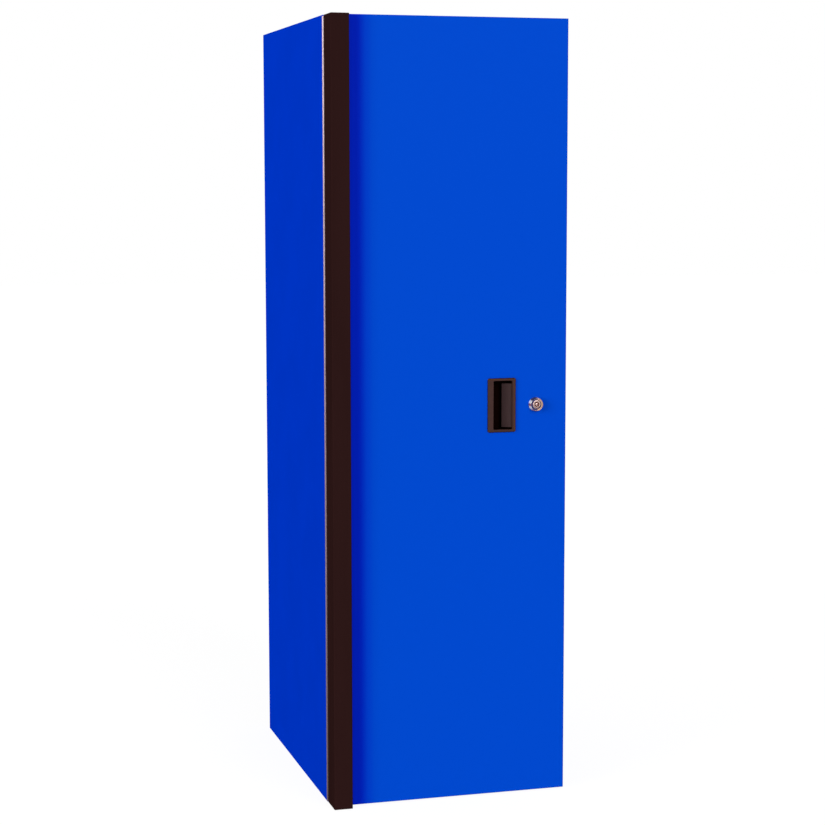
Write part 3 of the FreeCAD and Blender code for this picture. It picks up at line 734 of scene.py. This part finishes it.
# Faces of the dish, reaching further out at the far left, take the painted reflection of the door.
dish_from, dish_to, dish_end = 0.0092, 0.0114, 0.001
far_left, far_left_dish_to = -0.006, 0.0123
for face in housing.polygons:
    off_centre = face.center - Vector((lock_x, face.center.y, lock_z))
    dish_out = far_left_dish_to if off_centre.x < far_left else dish_to
    if face.center.y > door_face:
        face.material_index = at_barrel
    elif dish_from < off_centre.length < dish_out and off_centre.x < dish_end:
        face.material_index = at_dish_reflection
    elif off_centre.length > side_from:
        face.material_index = at_side
keep(housing, "lock_housing_shape", "door", ("lock_housing",), soft=50.0)
core_front, core_back = door_face - core_low.y, door_face - core_high.y
collar_radius, collar_back, tail_radius = 0.0089, core_front - 0.0039, 0.0069
groove_in, groove_out, groove_depth = 0.0027, 0.0051, 0.0030
groove_back = core_front - groove_depth
core = lathe("lock_core_shape", (chrome, key_shadow), [
    (0.0, core_front - 0.0002), (0.0008, core_front - 0.0001), (0.0024, core_front),
    (groove_in, core_front - 0.0003), (groove_in, groove_back), (groove_out, groove_back),
    (groove_out, core_front - 0.0002), (0.0053, core_front), (0.0081, core_front),
    (0.0086, core_front - 0.0003), (collar_radius, core_front - 0.0009),
    (collar_radius, collar_back), (tail_radius, collar_back), (tail_radius, core_back),
    (0.0, core_back)], [lock_spot], (0, -1, 0), sides=72)
for face in core.polygons:
    radius = math.hypot(face.center.x - lock_x, face.center.z - lock_z)
    if groove_in - hair < radius < groove_out + hair / 2:
        face.material_index = 1
keep(core, "lock_core_shape", "lock", ("lock_core",), soft=50.0)
key_pins, key_pin_ring = 7, 0.0041
key_pin_shape = [(0.0, 0.0020), (0.0004, 0.0019), (0.0005, 0.0016), (0.0005, 0.0)]
key_pin_angles = [math.radians(90 + 360 * i / key_pins) for i in range(key_pins)]
key_pin_spots = [(lock_x + key_pin_ring * math.cos(a), core_low.y + groove_depth,
                  lock_z + key_pin_ring * math.sin(a)) for a in key_pin_angles]
pins = lathe("key_pins", (nickel,), key_pin_shape, key_pin_spots, (0, -1, 0), sides=12)
keep(pins, "key_pins", "lock")
dressed("lock_nut", zinc, "door", edge=0.0004)
dressed("lock_cam", zinc, "lock", edge=0.0002)
cam_thick = 0.0020
fasteners("cam_screw", [
    (0.0, 0.0036), (0.0026, 0.0036), (0.0034, 0.0032, 6), (0.0036, 0.0030, 6), (0.0036, 0.0008, 6),
    (0.0055, 0.0008), (0.0058, 0.0006), (0.0058, 0.0)],
    [(lock_x, core_high.y + cam_thick, lock_z)], (0, 1, 0), "lock")
dressed("lock_keeper", zinc, "cabinet", edge=0.0002)
keeper_low, keeper_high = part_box("lock_keeper")
keeper_rivet_in, keeper_rivet_end = 0.0042, 0.005
keeper_spots = [(keeper_high.x - keeper_rivet_in, z)
                for z in (keeper_low.z + keeper_rivet_end, keeper_high.z - keeper_rivet_end)]
fasteners("keeper_rivets", [(0.0, 0.0010), (0.0012, 0.0009), (0.0019, 0.0005), (0.0021, 0.0)],
          [(x, side_low.y, z) for x, z in keeper_spots], (0, -1, 0), "cabinet")
fasteners("keeper_rivet_tails", [(0.0, 0.0003), (0.0017, 0.0003), (0.0020, 0.0)],
          [(x, keeper_high.y, z) for x, z in keeper_spots], (0, 1, 0), "cabinet")


# ---------------------------------------------------------------------------
# Catches and buffers. Black mouldings with a magnet inside on the frame of
# the body, steel strike plates on the door, and rubber buttons that the door
# closes against.
# ---------------------------------------------------------------------------
catch_black = (0.022, 0.022, 0.024)
catch_plastic = finish("catch_plastic", catch_black, roughness=0.5, specular=0.3)
mottle(catch_plastic, catch_black, size=0.004, darker=0.85, lighter=1.2)
ripple(catch_plastic, (grain(catch_plastic, 0.0004, detail=1.0), 0.00001))
rubber_black = (0.016, 0.016, 0.016)
rubber = finish("buffer_rubber", rubber_black, roughness=0.75, specular=0.25)
mottle(rubber, rubber_black, size=0.002, darker=0.8, lighter=1.3)
ripple(rubber, (grain(rubber, 0.0005), 0.00002))
pole_width, pole_rise, pole_proud, pole_sunk = 0.0025, 0.010, 0.0001, 0.001
pole_places = (-0.0045, 0.0020)
catch_screw_rise, strike_thick = 0.0165, 0.0008
flush_screw = [(0.0011, -0.0002, 6), (0.0011, 0.0001, 6), (0.0025, 0.0001), (0.0027, 0.0),
               (0.0027, -0.0002)]
flush_rivet = [(0.0, 0.0001), (0.0018, 0.0001), (0.0020, 0.0), (0.0020, -0.0001)]
for catch in ("lower_magnet_catch", "upper_magnet_catch"):
    dressed(catch, catch_plastic, "cabinet", edge=0.0005)
    catch_low, catch_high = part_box(catch)
    catch_mid = (catch_low + catch_high) / 2
    poles = blocks(catch + "_poles", (zinc,), [
        (oblong(left, left + pole_width, catch_low.y - pole_proud, catch_low.y + pole_sunk),
         catch_mid.z - pole_rise, catch_mid.z + pole_rise)
        for left in [catch_mid.x + place for place in pole_places]])
    keep(poles, catch + "_poles", "cabinet")
    heights = (catch_mid.z - catch_screw_rise, catch_mid.z + catch_screw_rise)
    fasteners(catch + "_screws", flush_screw,
              [(catch_mid.x, catch_low.y, height) for height in heights], (0, -1, 0), "cabinet")
    fasteners(catch + "_strike_rivets", flush_rivet,
              [(catch_mid.x, door_high.y + strike_thick, height) for height in heights],
              (0, 1, 0), "door")
dressed("strike_plates", zinc, "door", edge=0.0002)
dressed("door_buffers", rubber, "cabinet", edge=0.0006, steps=3)


# ---------------------------------------------------------------------------
# The scene brought up to date.
# ---------------------------------------------------------------------------
bpy.context.view_layer.update()
